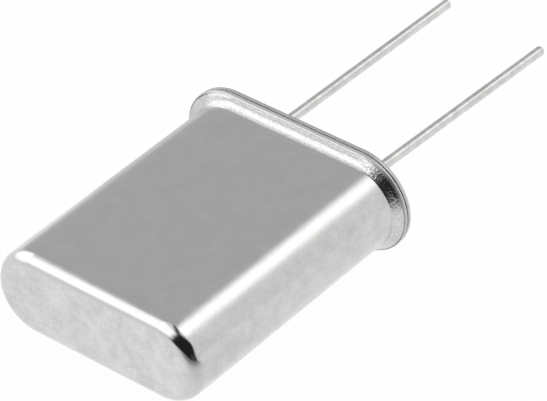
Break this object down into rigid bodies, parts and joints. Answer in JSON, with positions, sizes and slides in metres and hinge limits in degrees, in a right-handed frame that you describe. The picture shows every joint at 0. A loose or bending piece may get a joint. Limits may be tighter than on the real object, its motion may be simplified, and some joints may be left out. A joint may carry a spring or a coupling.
{
  "type": "crystal oscillator",
  "caption": "Quartz crystal unit in an oblong drawn metal can with a welded flanged base and straight wire leads for through-hole mounting.",
  "frame": {"origin": "middle of the seating face, the base's flat lead-side face, midway between the leads", "axes": "+Y along the leads, out of the seating face; +Z normal to the broad face that looks up as the part lies; +X from the left lead to the right one"},
  "size_m": [0.011, 0.026, 0.0046],
  "materials": {
    "can_nickel": "bright nickel plate, faintly orange-peeled by drawing",
    "base_nickel": "nickel plate, satin",
    "seal_glass": "dark sealing glass, fire-polished",
    "tinned_wire": "hot-tinned wire, slightly mottled",
    "clip_strip": "rolled nickel-silver spring strip",
    "quartz": "lapped quartz, finely frosted",
    "electrode_film": "evaporated silver film",
    "silver_cement": "silver-filled conductive cement, cured matt"
  },
  "bodies": {
    "root": {"can": "can_nickel", "base": "base_nickel", "glass_seal_left": "seal_glass", "glass_seal_right": "seal_glass", "lead_left": "tinned_wire", "lead_right": "tinned_wire", "spring_clip_left": "clip_strip", "spring_clip_right": "clip_strip", "quartz_blank": "quartz", "electrode_front": "electrode_film", "electrode_back": "electrode_film", "cement_left": "silver_cement", "cement_right": "silver_cement"}
  },
  "joints": []
}
